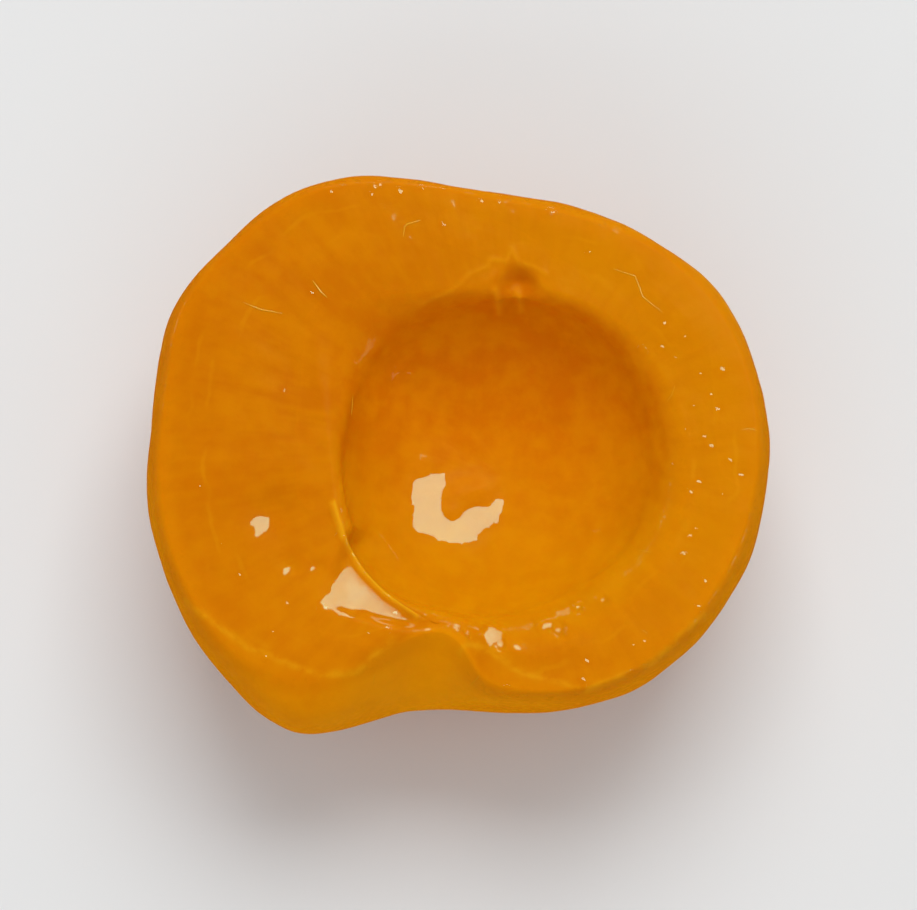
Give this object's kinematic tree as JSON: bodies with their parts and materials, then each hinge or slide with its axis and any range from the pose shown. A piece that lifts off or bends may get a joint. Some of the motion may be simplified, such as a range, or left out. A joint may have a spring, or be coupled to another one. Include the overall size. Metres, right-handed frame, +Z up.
{
  "type": "peach half",
  "caption": "Peeled peach half in syrup, stone removed, lying cut side up on its round back with the hollow open and a stem notch at one end.",
  "frame": {"origin": "middle of the footprint box, at the level of the small flat that the half rests on", "axes": "+Z up out of the cut face; +X across the two cheeks; +Y towards the blossom end, so the stem notch opens towards -Y"},
  "size_m": [0.0638, 0.0572, 0.027],
  "materials": {
    "flesh": "wet, glossy orange-yellow peach flesh with a thin film of syrup"
  },
  "bodies": {
    "root": {"peach_half": "flesh"}
  },
  "joints": []
}
